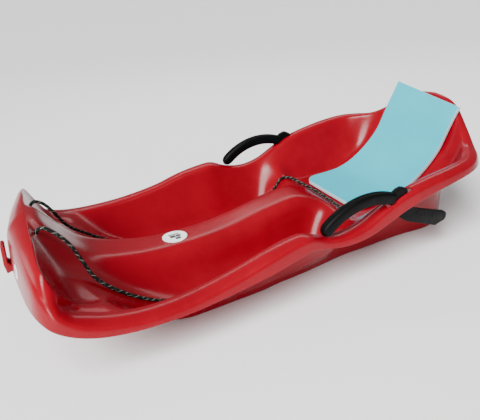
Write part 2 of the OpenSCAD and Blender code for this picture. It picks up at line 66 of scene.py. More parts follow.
MM = 0.001
BODY = "sledge"
JOINTS = {joint["name"]: joint for joint in frame["record"]["behaviour"]["joints"]}
LEVER_REACH = 168      # from the pivot to the tip of a grip, which sets the rim beside it
PIVOT_SHARE = 0.69     # place of the pivots as a share of the length
HUMP_END = 0.675       # where the hump has sunk into the seat, as a share of the length
SPINE_SHARES = 0.20, 0.78    # ends of the line from which the sections fan out
HOLE_PLACE = 52, 57    # a rope hole's distance behind the nose and from the middle
HOLE_DROP = 15         # from the nose crest down to the middle of a rope hole
HOLE_RADIUS = 4.5
HOLE_TILT = -57        # degrees from upright
SLOT_WIDTH = 11.2
SLOT_ENDS = -24, 34    # back and front of a lever's slot, from its pivot
SLOT_HEIGHTS = -30, 50
EAR_RADIUS = 9
EAR_THICK = 3
FLOOR_REACH = 60       # metres from the middle of the stage's floor to its edge
PIVOT = {side: [c / MM for c in JOINTS["brake_" + side]["pos_m"]] for side in ("left", "right")}


# ---- properties ----

def length(name, text, default, low=0.0):
    """A size in metres."""
    return bpy.props.FloatProperty(
        name=name, description=text, default=default, min=low, unit="LENGTH", precision=4)


def colour(name, text, default):
    """A colour without alpha."""
    return bpy.props.FloatVectorProperty(
        name=name, description=text, default=default, size=3, min=0, max=1, subtype="COLOR")


class ShellSizes(bpy.types.PropertyGroup):
    """Sizes of the moulding."""
    hull: length("Length", "Length of the moulding without its hook", 0.980)
    width: length("Width", "Width over the lips of the flange", 0.476)
    nose: length("Nose height", "Height of the nose crest", 0.208)
    tail: length("Backrest height", "Height of the backrest crest", 0.254)
    side: length("Side height", "Height of the flange beside the foot wells", 0.090)
    crest: length("Crest height", "Height of the flange in front of the hand dips", 0.128)
    dip: length("Dip height", "Height of the flange at the bottom of the hand dips", 0.105)
    seat_side: length("Seat side height", "Height of the flange beside the seat", 0.171)
    wall: length("Wall", "Thickness of the moulding", 0.003)
    flange: length("Flange", "Width of the flange", 0.034)
    floor: length("Floor height", "Height of the inside of the foot wells", 0.010)
    seat: length("Seat height", "Height of the seat", 0.066)
    hump: length("Hump height", "Height of the low part of the centre hump", 0.080)
    hump_half: length("Hump half width", "Half width of the hump at half its height", 0.062)
    knee: length("Knee rise", "Rise of the hump where it turns into the seat", 0.029)
    runner: length("Runner width", "Width of the runners under the shell", 0.006)
    lip_out: length("Lip lean", "How far the lip leans out at the widest place", 0.006)
    bulge: length("Bulge", "How far the flange is domed", 0.004)
    red: colour("Red", "Colour of the moulding", (0.24, 0.0, 0.0075))
    deep_red: colour("Deep red", "Colour where the moulding is thick", (0.20, 0.0, 0.006))


class LeverSizes(bpy.types.PropertyGroup):
    """Sizes of the two hand brakes."""
    reach: length("Reach", "Distance from the pivot forward to the tip of the grip", 0.168)
    claw: length("Claw reach", "Distance from the pivot back to the tip of the claw", 0.122)
    drop: length("Claw drop", "Drop of the claw tip below the pivot", 0.066)
    claw_depth: length("Claw depth", "Depth of the claw plate at its tip", 0.023)
    plate: length("Plate", "Thickness of a lever plate", 0.010)
    grip_w: length("Grip width", "Width of the hand grip", 0.020)
    grip_d: length("Grip depth", "Depth of the hand grip", 0.023)
    rise: length("Grip rise", "Rise of the arched grip above a straight line", 0.021)
    hub: length("Hub radius", "Radius of the lever hub", 0.013)
    rib: length("Rib", "Thickness of a rib on the grip", 0.0007)
    ribs: bpy.props.IntProperty(
        name="Ribs", description="Number of ribs on a grip", default=26, min=2)
    black: colour("Black", "Colour of the levers", (0.0012, 0.0012, 0.0013))


class RopeSizes(bpy.types.PropertyGroup):
    """Sizes of the tow rope."""
    thick: length("Diameter", "Diameter of the rope", 0.006)
    knot: length("Knot", "Diameter of a knot", 0.015)
    step: length("Step", "Distance between two rings of the rope's mesh", 0.0014)
    black: colour("Black", "Main colour of the braid", (0.004, 0.004, 0.0045))
    fleck: colour("Fleck", "Colour of the light yarns", (0.30, 0.29, 0.25))
    green: colour("Green", "Colour of the green yarns", (0.04, 0.09, 0.05))


class PadSizes(bpy.types.PropertyGroup):
    """Sizes of the foam pad."""
    width: length("Width", "Width of the pad", 0.200)
    shift: bpy.props.FloatProperty(
        name="Shift", description="How far the pad lies off the middle", default=-0.008,
        unit="LENGTH")
    thick: length("Thickness", "Thickness of the foam", 0.009)
    corner: length("Corner", "Radius of the front corners", 0.030)
    skew: length("Skew", "How much shorter the pad is along its left side", 0.025)
    blue: colour("Blue", "Colour of the foam's face", (0.022, 0.40, 0.49))
    edge: colour("Edge", "Colour of the foam's cut edge", (0.46, 0.50, 0.55))


class StageSettings(bpy.types.PropertyGroup):
    """Camera, floor and light."""
    eye: bpy.props.FloatVectorProperty(
        name="Eye", description="Place of the camera", default=(0.4048, 0.8159, 0.5498),
        unit="LENGTH")
    lens: bpy.props.FloatProperty(
        name="Lens", description="Focal length on a 36 mm sensor", default=36.0, unit="CAMERA")
    floor: colour("Floor", "Colour of the floor", (0.90, 0.90, 0.90))


# ---- small helpers ----

def in_mm(group, *names):
    """Sizes of a property group in millimetres, by name."""
    return {name: getattr(group, name) / MM for name in names}


def mix(a, b, t):
    return a + (b - a) * t


def ease(t):
    t = min(1.0, max(0.0, t))
    return t * t * (3 - 2 * t)


def catmull(rows, t):
    """Point at t, from 0 to len - 1, on the smooth curve through the rows."""
    n = len(rows) - 1
    i = min(n - 1, max(0, math.floor(t)))
    f = t - i
    rows4 = rows[max(0, i - 1)], rows[i], rows[i + 1], rows[min(n, i + 2)]
    return [b + 0.5 * f * ((c - a) + f * ((2 * a - 5 * b + 4 * c - d) + f * (3 * (b - c) + d - a)))
            for a, b, c, d in zip(*rows4)]


def spline(stations, x):
    """Smooth value at x through (x, value) stations."""
    if x <= stations[0][0]:
        return stations[0][1]
    if x >= stations[-1][0]:
        return stations[-1][1]
    i = max(k for k in range(len(stations) - 1) if stations[k][0] <= x)

    def slope(k):
        a, b = stations[max(0, k - 1)], stations[min(len(stations) - 1, k + 1)]
        return (b[1] - a[1]) / (b[0] - a[0])

    h = stations[i + 1][0] - stations[i][0]
    t = (x - stations[i][0]) / h
    return (stations[i][1] * (1 + 2 * t) * (1 - t) ** 2 + stations[i + 1][1] * t * t * (3 - 2 * t)
            + h * slope(i) * t * (1 - t) ** 2 - h * slope(i + 1) * t * t * (1 - t))


def add_object(name, mesh):
    piece = bpy.data.objects.new(name, mesh)
    bpy.context.scene.collection.objects.link(piece)
    return piece


def mesh_from(name, points, faces):
    """A mesh in metres from points in millimetres, with its faces turned outwards."""
    mesh = bpy.data.meshes.new(name)
    mesh.from_pydata([[c * MM for c in p] for p in points], [], faces)
    turn_outwards(mesh)
    return mesh


def turn_outwards(mesh):
    work = bmesh.new()
    work.from_mesh(mesh)
    bmesh.ops.remove_doubles(work, verts=work.verts, dist=1e-6)
    bmesh.ops.recalc_face_normals(work, faces=work.faces)
    work.to_mesh(mesh)
    work.free()


def settle(piece):
    """Turns the piece with its modifiers into a plain mesh."""
    graph = bpy.context.evaluated_depsgraph_get()
    mesh = bpy.data.meshes.new_from_object(piece.evaluated_get(graph))
    piece.modifiers.clear()
    piece.data = mesh
    return piece


def shade(piece, material, angle=35):
    piece.data.materials.clear()
    piece.data.materials.append(material)
    piece.data.shade_smooth()
    piece.data.set_sharp_from_angle(angle=math.radians(angle))


def join_meshes(name, pieces):
    """One object from several, at the origin."""
    work = bmesh.new()
    for piece in pieces:
        work.from_mesh(piece.data)
        bpy.data.objects.remove(piece)
    mesh = bpy.data.meshes.new(name)
    work.to_mesh(mesh)
    work.free()
    return add_object(name, mesh)


def grid_faces(rows, columns, base=0, ring=True, loop=False):
    """Quads of a grid of points listed row by row. A ring closes each row, a loop closes
    the last row on the first."""
    return [[base + j * columns + k, base + j * columns + (k + 1) % columns,
             base + (j + 1) % rows * columns + (k + 1) % columns,
             base + (j + 1) % rows * columns + k]
            for j in range(rows if loop else rows - 1)
            for k in range(columns if ring else columns - 1)]


def slab_mesh(name, outline, y0, y1, place=(0, 0, 0)):
    """Outline in x and z, pushed out from y0 to y1 and moved to its place."""
    n = len(outline)
    points = [(x + place[0], y + place[1], z + place[2]) for y in (y0, y1) for x, z in outline]
    faces = [list(range(n)), list(range(2 * n - 1, n - 1, -1))]
    faces += [[k, (k + 1) % n, n + (k + 1) % n, n + k] for k in range(n)]
    return mesh_from(name, points, faces)


def rounded_slab(name, outline, y0, y1, place, *edge):
    """A slab with its edges bevelled; edge holds what bevel takes after the piece."""
    piece = add_object(name, slab_mesh(name, outline, y0, y1, place))
    bevel(piece, *edge)
    return settle(piece)


def arc(cx, cz, r, a0, a1, steps):
    """Points of an arc in x and z, angles in degrees."""
    return [(cx + r * math.cos(math.radians(mix(a0, a1, k / steps))),
             cz + r * math.sin(math.radians(mix(a0, a1, k / steps)))) for k in range(steps + 1)]


def bevel(piece, width, segments=3, angle=30):
    mod = piece.modifiers.new("Round", "BEVEL")
    mod.width = width * MM
    mod.segments = segments
    mod.limit_method = "ANGLE"
    mod.angle_limit = math.radians(angle)


# ---- node expressions ----

class Value:
    """A node socket that takes part in sums."""

    def __init__(self, net, socket):
        self.net, self.socket = net, socket

    def out(self, name):
        return Value(self.net, self.socket.node.outputs[name])

    def _math(self, operation, a, b=0.0, c=0.0):
        return self.net.node("ShaderNodeMath", {"operation": operation}, {0: a, 1: b, 2: c})

    def __add__(self, other):
        return self._math("ADD", self, other)

    __radd__ = __add__

    def __sub__(self, other):
        return self._math("SUBTRACT", self, other)

    def __rsub__(self, other):
        return self._math("SUBTRACT", other, self)

    def __mul__(self, other):
        return self._math("MULTIPLY", self, other)

    __rmul__ = __mul__

    def __truediv__(self, other):
        return self._math("DIVIDE", self, other)

    def __lt__(self, other):
        return self._math("LESS_THAN", self, other)

    def sin(self):
        return self._math("SINE", self)

    def cos(self):
        return self._math("COSINE", self)

    def abs(self):
        return self._math("ABSOLUTE", self)

    def fract(self):
        return self._math("FRACT", self)

    def max(self, other):
        return self._math("MAXIMUM", self, other)

    def clamp(self):
        return self.net.node("ShaderNodeClamp", {}, {0: self})

    def smooth(self, low, high):
        """0 below low, 1 above high and smooth between."""
        return self.net.node("ShaderNodeMapRange", {"interpolation_type": "SMOOTHSTEP"},
                             {0: self, 1: low, 2: high})


class Net:
    """Builds a node tree from Python expressions."""

    def __init__(self, tree):
        self.tree = tree

    def node(self, kind, settings=None, sockets=None, out=0):
        """A node with its settings made first, then the values or links of its sockets."""
        made = self.tree.nodes.new(kind)
        for name, value in (settings or {}).items():
            setattr(made, name, value)
        for name, value in (sockets or {}).items():
            if isinstance(value, Value):
                self.tree.links.new(value.socket, made.inputs[name])
            else:
                made.inputs[name].default_value = value
        return Value(self, made.outputs[out]) if made.outputs else made

    def blend(self, amount, a, b):
        """Colour a where amount is 0 and b where it is 1."""
        return self.node("ShaderNodeMix", {"data_type": "RGBA"}, {0: amount, 6: a, 7: b}, out=2)

    def noise(self, place, scale, detail=3.0, rough=0.5):
        return self.node("ShaderNodeTexNoise", {}, {
            "Vector": place, "Scale": scale, "Detail": detail, "Roughness": rough})

    def stretched(self, place, scale):
        """Place with its axes scaled apart."""
        return self.node("ShaderNodeMapping", {"vector_type": "POINT"}, {
            "Vector": place, "Scale": scale})

    def bump(self, height, strength, distance):
        return self.node("ShaderNodeBump", {}, {
            "Height": height, "Strength": strength, "Distance": distance})


def rgba(tint):
    return (*tint, 1.0)


def surface(name, build, **constants):
    """A material: build(net) gives its varying inputs, and constants are set on the shader."""
    material = bpy.data.materials.new(name)
    material.use_nodes = True
    net = Net(material.node_tree)
    shader = material.node_tree.nodes["Principled BSDF"]
    for key, value in constants.items():
        shader.inputs[key.replace("_", " ")].default_value = value
    for key, value in build(net).items():
        material.node_tree.links.new(value.socket, shader.inputs[key])
    return material


def object_place(net):
    return net.node("ShaderNodeTexCoord", out="Object")


# ---- materials ----

def glossy_moulding(sizes):
    """Bright moulded polyethylene with a faint pebble, flow marks and hair scratches."""
    def build(net):
        place = object_place(net)
        broad = net.noise(place, 6.0, 2.0)
        cloud = net.noise(place, 45.0, 4.0)
        pebble = net.noise(place, 900.0, 2.0)
        hair = net.noise(net.stretched(place, (12.0, 110.0, 140.0)), 1.0, 5.0, 0.7)
        scratch = hair.smooth(0.62, 0.72)
        tone = (broad * 0.7 + cloud * 0.3).smooth(0.35, 0.65)
        base = net.blend(tone, rgba(sizes.deep_red), rgba(sizes.red))
        return {
            "Base Color": base,
            "Roughness": 0.19 + 0.08 * cloud + 0.05 * scratch,
            "Normal": net.bump(pebble + 2.0 * broad, 0.06, 0.0006),
        }
    return surface("glossy_moulding", build, IOR=1.5, Specular_IOR_Level=0.24)


def grained_nylon(sizes):
    """Black nylon with a spark-eroded grain."""
    def build(net):
        place = object_place(net)
        grain = net.noise(place, 1400.0, 3.0, 0.6)
        worn = net.noise(place, 60.0, 4.0).smooth(0.45, 0.75)
        base = net.blend(worn, rgba(sizes.black), rgba([c * 2.2 for c in sizes.black]))
        return {
            "Base Color": base,
            "Roughness": 0.44 + 0.16 * grain - 0.08 * worn,
            "Normal": net.bump(grain, 0.35, 0.0003),
        }
    return surface("grained_nylon", build, Specular_IOR_Level=0.1)


def zinc_steel():
    """Zinc-plated steel with turning marks."""
    def build(net):
        place = object_place(net)
        marks = net.noise(net.stretched(place, (300.0, 4000.0, 300.0)), 1.0, 3.0)
        spots = net.noise(place, 250.0, 3.0)
        return {
            "Base Color": net.blend(spots, (0.52, 0.52, 0.55, 1), (0.70, 0.70, 0.70, 1)),
            "Roughness": 0.28 + 0.2 * marks,
            "Normal": net.bump(marks, 0.2, 0.0002),
        }
    return surface("zinc_steel", build, Metallic=1.0)


def braided_rope(sizes):
    """Braid of black yarns with light and green flecks, drawn on the rope's own map."""
    def build(net):
        uv = net.node("ShaderNodeUVMap", {"uv_map": "braid"})
        split = net.node("ShaderNodeSeparateXYZ", {}, {0: uv})
        along, turn = split, split.out("Y")
        right = along / BRAID_PITCH + turn
        left = along / BRAID_PITCH - turn
        yarn_r = (right * BRAID_YARNS).fract()
        yarn_l = (left * BRAID_YARNS).fract()
        light = ((right * 2.0).fract() < 0.12) * ((along * 61.0).fract() < 0.62)
        green = ((left * 2.0 + 0.3).fract() < 0.13) * ((along * 37.0).fract() < 0.55)
        fuzz = net.noise(object_place(net), 3000.0, 2.0)
        dark = net.blend(fuzz, rgba(sizes.black), rgba([c * 3.0 for c in sizes.black]))
        base = net.blend(green, net.blend(light, dark, rgba(sizes.fleck)), rgba(sizes.green))
        weave = ((yarn_r - 0.5).abs() + (yarn_l - 0.5).abs()) * -1.0
        return {
            "Base Color": base,
            "Roughness": 0.62 + 0.25 * fuzz,
            "Normal": net.bump(weave + 0.5 * fuzz, 0.5, 0.0005),
        }
    return surface("braided_rope", build, Specular_IOR_Level=0.08)


def closed_cell_foam(sizes):
    """Pale blue foam: a fine skin on its faces and open cells on its cut edge."""
    def build(net):
        place = object_place(net)
        edge = net.node("ShaderNodeAttribute", {"attribute_name": "cut"}, out="Fac")
        cells = net.node("ShaderNodeTexVoronoi", {"feature": "F1"}, {
            "Vector": place, "Scale": 900.0})
        skin = net.noise(place, 700.0, 4.0, 0.65)
        patch = net.noise(place, 16.0, 3.0)
        weave = net.noise(net.stretched(place, (60.0, 900.0, 60.0)), 1.0, 3.0)
        tone = 0.75 * patch + 0.35 * weave - 0.05
        face = net.blend(tone.clamp(), rgba([c * 0.90 for c in sizes.blue]),
                         rgba([min(1.0, c * 1.10) for c in sizes.blue]))
        return {
            "Base Color": net.blend(edge, face, rgba(sizes.edge)),
            "Roughness": 0.78 + 0.15 * skin,
            "Normal": net.bump(skin * 0.6 + cells * 0.8 + weave * 0.2, 0.25, 0.0005),
        }
    return surface("closed_cell_foam", build, Specular_IOR_Level=0.2)


def printed_label(name, node, across, up, half):
    """White vinyl with plain printed bars. across and up are the print's axes, 0, 1 or 2."""
    low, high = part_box(node)
    centre = [(a + b) / 2 for a, b in zip(low, high)]

    def build(net):
        split = net.node("ShaderNodeSeparateXYZ", {}, {0: object_place(net)})
        axes = [split, split.out("Y"), split.out("Z")]
        a = (axes[across] - centre[across]) / half
        b = (axes[up] - centre[up]) / half

        def bar(x, y, w, h):
            return ((a - x).abs() < w) * ((b - y).abs() < h)

        marks = bar(-0.18, 0.34, 0.22, 0.16).max(bar(-0.30, -0.04, 0.20, 0.16)).max(
            bar(0.16, -0.04, 0.22, 0.18)).max(bar(0.0, -0.36, 0.44, 0.08))
        speck = net.noise(object_place(net), 1200.0, 2.0)
        return {
            "Base Color": net.blend(marks, (0.88, 0.88, 0.87, 1), (0.03, 0.03, 0.035, 1)),
            "Roughness": 0.34 + 0.12 * speck,
            "Normal": net.bump(speck, 0.05, 0.0002),
        }
    return surface(name, build)


def pale_floor(sizes):
    def build(net):
        speck = net.noise(object_place(net), 3.0, 3.0)
        tint = rgba(sizes.floor)
        return {
            "Base Color": net.blend(speck, tint, rgba([c * 0.985 for c in sizes.floor])),
            "Roughness": 0.85 + 0.05 * speck,
        }
    return surface("pale_floor", build)


# ---- shape of the moulding ----

class Hull:
    """The moulding as functions of a place round its rim and a share of the way out to it."""

    def __init__(self, p):
        self.__dict__.update(in_mm(
            p, "hull", "width", "nose", "tail", "side", "crest", "dip", "seat_side", "wall",
            "flange", "floor", "seat", "hump", "hump_half", "knee", "runner", "lip_out", "bulge"))
        self.half = self.width / 2 - self.lip_out
        self.pivot = PIVOT_SHARE * self.hull
        self.fold = self._fold()
        self.spans = 2 * (len(self.fold) - 1)
        self.well_line, self.hump_line, self.shoulder_line = self._lines()
        first, last = self.fold_at(0), self.fold_at(self.spans)
        self.front = first[0] - first[8]
        self.hook_out = 10
        self.middle = (self.front - self.hook_out + last[0] + last[8]) / 2

    def _fold(self):
        """Rim stations from nose to tail: place and half width as shares, height, flange
        share, rise of its inner edge, drop of the lip, steepness and foot of the inside
        wall, lean of the lip."""
        nose, side, crest, dip, seat, tail = (
            self.nose, self.side, self.crest, self.dip, self.seat_side, self.tail)

        def lever(k):
            return (self.pivot + k * LEVER_REACH) / self.hull

        return [
            (0.013, 0.00, nose - 20, 0.90, 20, 72, 4.0, 0.74, 14),
            (0.020, 0.25, nose - 21, 0.75, 19, 68, 4.0, 0.74, 16),
            (0.027, 0.48, nose - 25, 0.60, 18, 62, 4.0, 0.74, 17),
            (0.032, 0.66, nose - 32, 0.45, 17, 54, 4.0, 0.74, 16),
            (0.038, 0.80, nose - 42, 0.42, 16, 44, 4.0, 0.74, 14),
            (0.048, 0.89, nose - 62, 0.55, 5, 34, 3.0, 0.74, 11),
            (0.063, 0.93, nose - 84, 0.72, 2, 24, 2.2, 0.74, 8),
            (0.088, 0.955, side + 17, 0.88, 3, 18, 1.8, 0.74, 7),
            (0.125, 0.98, side + 6, 0.96, 2, 15, 1.6, 0.74, 6),
            (0.180, 1.00, side, 1.0, 1, 13, 1.5, 0.74, 6),
            (0.250, 1.00, side + 1, 1.0, 1, 14, 1.5, 0.74, 6),
            (0.330, 0.99, mix(side, crest, 0.3), 1.0, 2, 18, 1.5, 0.74, 6),
            (0.395, 0.99, mix(side, crest, 0.72), 1.0, 2, 24, 1.5, 0.735, 6),
            (lever(-1.39), 0.97, crest - 1, 1.0, 0, 25, 1.5, 0.725, 6),
            (lever(-1.22), 0.96, crest - 1, 0.9, 0, 20, 1.5, 0.715, 6),
            (lever(-1.02), 0.945, mix(crest, dip, 0.7), 0.8, 0, 15, 1.5, 0.705, 6),
            (lever(-0.76), 0.94, dip - 1, 0.8, 0, 15, 1.5, 0.69, 6),
            (lever(-0.49), 0.94, dip + 6, 0.8, 0, 20, 1.5, 0.675, 6),
            (lever(-0.23), 0.94, mix(dip, seat, 0.40), 0.8, 0, 26, 1.5, 0.665, 6),
            (lever(0.03), 0.945, mix(dip, seat, 0.68), 0.8, 0, 27, 1.6, 0.66, 6),
            (0.760, 0.950, mix(dip, seat, 0.88), 0.8, 0, 22, 1.6, 0.65, 6),
            (0.825, 0.950, seat, 0.8, 0, 18, 1.6, 0.65, 6),
            (0.873, 0.915, seat + 4, 0.8, 0, 16, 1.6, 0.69, 6),
            (0.908, 0.820, seat + 6, 0.8, 1, 17, 1.6, 0.77, 6),
            (0.936, 0.680, mix(seat, tail, 0.12), 0.65, 2, 20, 1.7, 0.83, 6),
            (0.960, 0.500, mix(seat, tail, 0.40), 0.5, 3, 26, 2.0, 0.86, 6),
            (0.981, 0.260, mix(seat, tail, 0.85), 0.45, 3, 28, 2.2, 0.88, 6),
            (0.988, 0.000, tail - 3, 0.45, 3, 28, 2.2, 0.88, 6)]

    def _lines(self):
        """Heights along the foot wells, seat and backrest, along the hump, and beside the nose."""
        nose, floor, seat, tail, hump = self.nose, self.floor, self.seat, self.tail, self.hump
        knee = hump + self.knee
        well = [
            (0.040, nose - 48), (0.060, nose - 64), (0.080, nose - 78), (0.120, nose - 108),
            (0.150, floor + 64), (0.185, floor + 36), (0.220, floor + 16), (0.260, floor + 4),
            (0.310, floor), (0.555, floor), (0.580, floor + 14), (0.605, seat - 6),
            (0.623, seat + 13), (0.638, seat + 15), (0.655, seat + 6), (0.675, seat),
            (0.760, seat), (0.790, seat + 3), (0.820, seat + 12), (0.848, seat + 26),
            (0.875, seat + 44), (0.905, mix(seat, tail, 0.38)), (0.935, mix(seat, tail, 0.56)),
            (0.975, mix(seat, tail, 0.86))]
        ridge = [
            (0.040, nose - 3), (0.062, nose - 7), (0.080, nose - 30), (0.105, nose - 66),
            (0.130, nose - 90), (0.160, hump + 24), (0.200, hump + 12), (0.250, hump + 3),
            (0.310, hump), (0.370, hump + 1), (0.430, hump + 7), (0.500, hump + 20),
            (0.555, knee - 1), (0.580, knee), (0.605, knee - 7), (0.632, seat + 24),
            (0.655, seat + 8), (0.675, seat), (0.760, seat)]
        shoulder = [
            (0.040, nose - 55), (0.058, nose - 78), (0.088, self.side + 16),
            (0.125, self.side + 4), (0.180, self.side)]
        return [[(f * self.hull, z) for f, z in line] for line in (well, ridge, shoulder)]

    @lru_cache(maxsize=None)
    def fold_at(self, i):
        f = catmull(self.fold, i / 2)
        return (f[0] * self.hull, self.half * f[1], f[2], self.flange * f[3], *f[4:])

    @lru_cache(maxsize=None)
    def inward(self, i):
        """Unit vector in plan that points into the shell."""
        if i <= 0:
            return (1.0, 0.0)
        if i >= self.spans:
            return (-1.0, 0.0)
        a, b = self.fold_at(i - 0.5), self.fold_at(i + 0.5)
        du, dy = b[0] - a[0], b[1] - a[1]
        size = math.hypot(du, dy)
        return (dy / size, -du / size)

    def inside_z(self, u, y):
        low = spline(self.well_line, u)
        low = mix(low, min(low, spline(self.shoulder_line, u)), ease((abs(y) - 110) / 60))
        if u >= HUMP_END * self.hull:
            return low
        share = 1 / (1 + (abs(y) / self.hump_half) ** 6)
        return low + (spline(self.hump_line, u) - low) * share

    def spine_at(self, i):
        low, high = SPINE_SHARES
        return mix(low * self.hull, high * self.hull, i / self.spans)

    @lru_cache(maxsize=None)
    def edge_at(self, i):
        """Inner edge of the flange, then the steepness and the foot of the inside wall."""
        f, n = self.fold_at(i), self.inward(i)
        y = 0.0 if i <= 0 or i >= self.spans else max(4.0, f[1] + n[1] * f[3])
        return (f[0] + n[0] * f[3], y, f[2] + f[4], f[6], f[7])

    def inside_at(self, i, s):
        e = self.edge_at(i)
        u, y, foot = mix(self.spine_at(i), e[0], s), e[1] * s, e[4]
        z = self.inside_z(u, y)
        if s > foot:
            z = mix(z, e[2], ((s - foot) / (1 - foot)) ** e[3])
        return Vector((u, y, z))

    def flange_at(self, i, q):
        e, f = self.edge_at(i), self.fold_at(i)
        return Vector((mix(e[0], f[0], q), mix(e[1], f[1], q),
                       mix(e[2], f[2], q) + self.bulge * 4 * q * (1 - q)))

    def lip_at(self, i, out, down, back=0.0):
        f, n = self.fold_at(i), self.inward(i)
        lean = f[8] * out - back
        return Vector((f[0] - n[0] * lean, f[1] - n[1] * lean, f[2] - f[5] * down))

    def under_at(self, i, s):
        """Point under the inside, one wall away."""
        across = self.inside_at(i, min(1, s + 0.01)) - self.inside_at(i, s - 0.01)
        along = self.inside_at(min(self.spans, i + 0.5), s) - self.inside_at(max(0, i - 0.5), s)
        away = across.cross(along).normalized()
        if i <= 0 or i >= self.spans:
            away.y = 0
        return self.inside_at(i, s) + self.wall * away

    def runner_at(self, i, out):
        p = self.under_at(i, self.edge_at(i)[4] + out)
        p.z = mix(p.z - 1, 0, ease((p.x - 0.17 * self.hull) / (0.11 * self.hull)))
        return p

    def section(self, i):
        """Points of half a section: inside, flange, lip, back under it, runner and belly."""
        foot = self.edge_at(i)[4]
        runner = self.runner / (self.half - self.flange)
        wall = [mix(foot, 1, t) for t in WALL_SHARES]
        points = [self.inside_at(i, foot * t) for t in FLOOR_SHARES]
        points += [self.inside_at(i, s) for s in [foot, *wall]]
        points += [self.flange_at(i, q) for q in (0, 0.15, 0.35, 0.55, 0.75, 0.9, 1)]
        points += [self.lip_at(i, o, d) for o, d in LIP_STEPS]
        points += [self.lip_at(i, o, d, self.wall) for o, d in reversed(LIP_STEPS)]
        drop = Vector((0, 0, self.wall))
        points.append(self.lip_at(i, 0, 0, self.wall * 0.8) - drop)
        points += [self.flange_at(i, q) - drop for q in (0.75, 0.5, 0.25, 0.1)]
        points += [self.under_at(i, s) for s in reversed(wall) if s > foot + 0.14 * (1 - foot)]
        outer = points[-1], self.runner_at(i, runner)
        inner = self.runner_at(i, 0), self.under_at(i, foot * 0.97)
        points += [outer[0].lerp(outer[1], t) for t in (0.3, 0.6, 0.9, 1)]
        points += [inner[0].lerp(inner[1], t) for t in (0, 0.1, 0.4, 0.7, 1)]
        return points + [self.under_at(i, foot * t) for t in reversed(FLOOR_SHARES)]

    def place(self, p):
        """Distance behind the nose to x."""
        return (self.middle - p[0], p[1], p[2])

    def rim(self, u, column):
        """Height (2) or half width (1) of the fold beside the place u, behind the nose's corner."""
        rows = [self.fold_at(k) for k in range(16, self.spans - 11)]
        after = next(k for k in range(1, len(rows)) if rows[k][0] >= u)
        a, b = rows[after - 1], rows[after]
        return mix(a[column], b[column], (u - a[0]) / (b[0] - a[0]))


FLOOR_SHARES = (0.07, 0.14, 0.20, 0.25, 0.30, 0.35, 0.40, 0.45, 0.51, 0.58, 0.67, 0.78, 0.90)
WALL_SHARES = (0.07, 0.16, 0.27, 0.39, 0.52, 0.65, 0.77, 0.88, 0.96)
LIP_STEPS = ((0.12, 0.04), (0.30, 0.13), (0.50, 0.25), (0.75, 0.60), (0.95, 0.92), (1, 1))


def hull():
    return Hull(bpy.context.scene.sledge_shell)


def shell_grid(form):
    """The moulding as one closed grid of quads."""
    steps = 2 * form.spans
    sections = [form.section(k / 2) for k in range(steps + 1)]
    for end in (0, steps):
        for p in sections[end]:
            p.y = 0
    rings = len(sections[0])
    around = 2 * steps
    points = []
    for r in range(rings):
        for k in range(around):
            p = sections[k if k <= steps else around - k][r]
            points.append(form.place((p.x, p.y if k <= steps else -p.y, p.z)))
    faces = grid_faces(rings, around)
    for ring, drop in ((0, 0), (rings - 1, form.wall)):
        start = len(points)
        for k in range(steps + 1):
            u = form.spine_at(k / 2)
            points.append(form.place((u, 0, form.inside_z(u, 0) - drop)))
        for k in range(around):
            a, b = (j if j <= steps else around - j for j in (k, k + 1))
            base = ring * around
            faces.append([base + k, base + (k + 1) % around, start + b, start + a])
    return mesh_from("moulding", points, faces)


def hook_piece(form):
    """Rounded hook under the middle of the front lip."""
    lip = form.fold_at(0)
    outline = [(-8, -2), (8, -6), (form.hook_out - 0.5, 12), (6.2, 42)]
    outline += arc(2.6, 44, 3.6, 0, 180, 8)
    outline += [(-1, 42), (1.8, 14), (-3, 8)]
    place = (form.middle - form.front, 0, lip[2] - lip[5])
    return rounded_slab("hook", outline, -12, 12, place, 1.4)


def ear_pieces(form, side):
    """Two ears under the flange that hold a pivot pin."""
    pieces = []
    place = PIVOT["left" if side > 0 else "right"]
    r = EAR_RADIUS
    tops = [form.rim(form.pivot + d, 2) - place[2] - 1.5 for d in (r, -r)]
    outline = [(-r, tops[0])] + arc(0, 0, r, 180, 360, 20) + [(r, tops[1])]
    for out in (-1, 1):
        inner = SLOT_WIDTH / 2
        ends = sorted((out * inner, out * (inner + EAR_THICK)))
        pieces.append(rounded_slab("ear", outline, *ends, place, 0.5, 2))
    return pieces


def cut(piece, cutter):
    mod = piece.modifiers.new("Cut", "BOOLEAN")
    mod.operation, mod.solver, mod.object = "DIFFERENCE", "EXACT", cutter
    settle(piece)
    bpy.data.objects.remove(cutter)


# ---- operators ----

class SLEDGE_OT_camera(bpy.types.Operator):
    """Puts the camera to the left of the nose, looking down into the sledge"""
    bl_idname = "sledge.camera"
    bl_label = "Camera"

    def execute(self, context):
        settings = context.scene.sledge_stage
        data = bpy.data.cameras.new("camera")
        data.sensor_width, data.lens = 36.0, settings.lens
        camera = add_object("camera", data)
        right = Vector((-0.8953, 0.4395, -0.0728))
        ahead = Vector((-0.3634, -0.8150, -0.4515))
        up = right.cross(ahead)
        turn = Matrix((right, up, -ahead)).transposed()
        camera.matrix_world = Matrix.Translation(settings.eye) @ turn.to_4x4()
        context.scene.camera = camera
        return {"FINISHED"}


